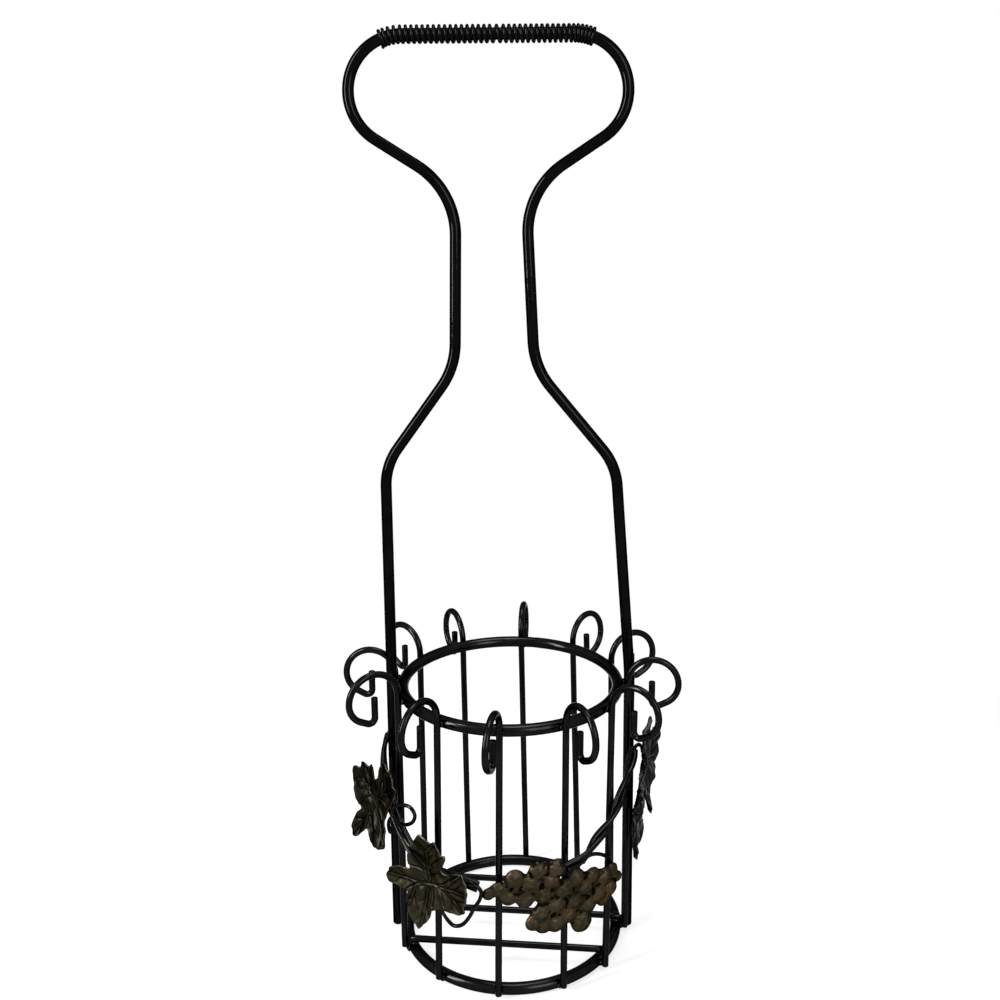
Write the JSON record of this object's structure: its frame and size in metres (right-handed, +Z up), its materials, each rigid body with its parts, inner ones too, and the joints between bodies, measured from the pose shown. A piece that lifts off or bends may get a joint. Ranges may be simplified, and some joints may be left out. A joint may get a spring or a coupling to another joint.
{
  "type": "wire bottle carrier",
  "caption": "Welded black wire basket with scroll hooks and a bottle-shaped rod handle with a wound grip, trimmed with a vine of stamped leaves and grapes; carries one wine bottle upright.",
  "frame": {"origin": "on the ground, on the axis of the cage", "axes": "+Z up along the axis of the cage, -Y towards the side with the leaves and grapes, +X to the right seen from there; the handle stands in the XZ plane"},
  "size_m": [0.165, 0.1648, 0.436],
  "materials": {
    "black_paint": "gloss black paint on steel wire",
    "leaf_patina": "dark brown antique finish rubbed lighter on the raised veins",
    "grape_patina": "brown antique finish with olive and dark mottling, soft gloss"
  },
  "bodies": {
    "root": {"bottom_ring": "black_paint", "top_ring": "black_paint", "hook_upright_01": "black_paint", "hook_upright_02": "black_paint", "hook_upright_03": "black_paint", "hook_upright_04": "black_paint", "hook_upright_05": "black_paint", "hook_upright_06": "black_paint", "hook_upright_07": "black_paint", "hook_upright_08": "black_paint", "hook_upright_09": "black_paint", "hook_upright_10": "black_paint", "hook_upright_11": "black_paint", "hook_upright_12": "black_paint", "floor_wire_front": "black_paint", "floor_wire_middle": "black_paint", "floor_wire_back": "black_paint", "handle_frame": "black_paint", "grip_winding": "black_paint", "stem_left_a": "black_paint", "stem_left_b": "black_paint", "stem_right_a": "black_paint", "stem_right_b": "black_paint", "tendril_loop": "black_paint", "tendril_curl": "black_paint", "tendril_front": "black_paint", "tendril_right": "black_paint", "leaf_left": "leaf_patina", "leaf_front": "leaf_patina", "leaf_right_upper": "leaf_patina", "leaf_right_lower": "leaf_patina", "grape_bunch": "grape_patina"}
  },
  "joints": []
}
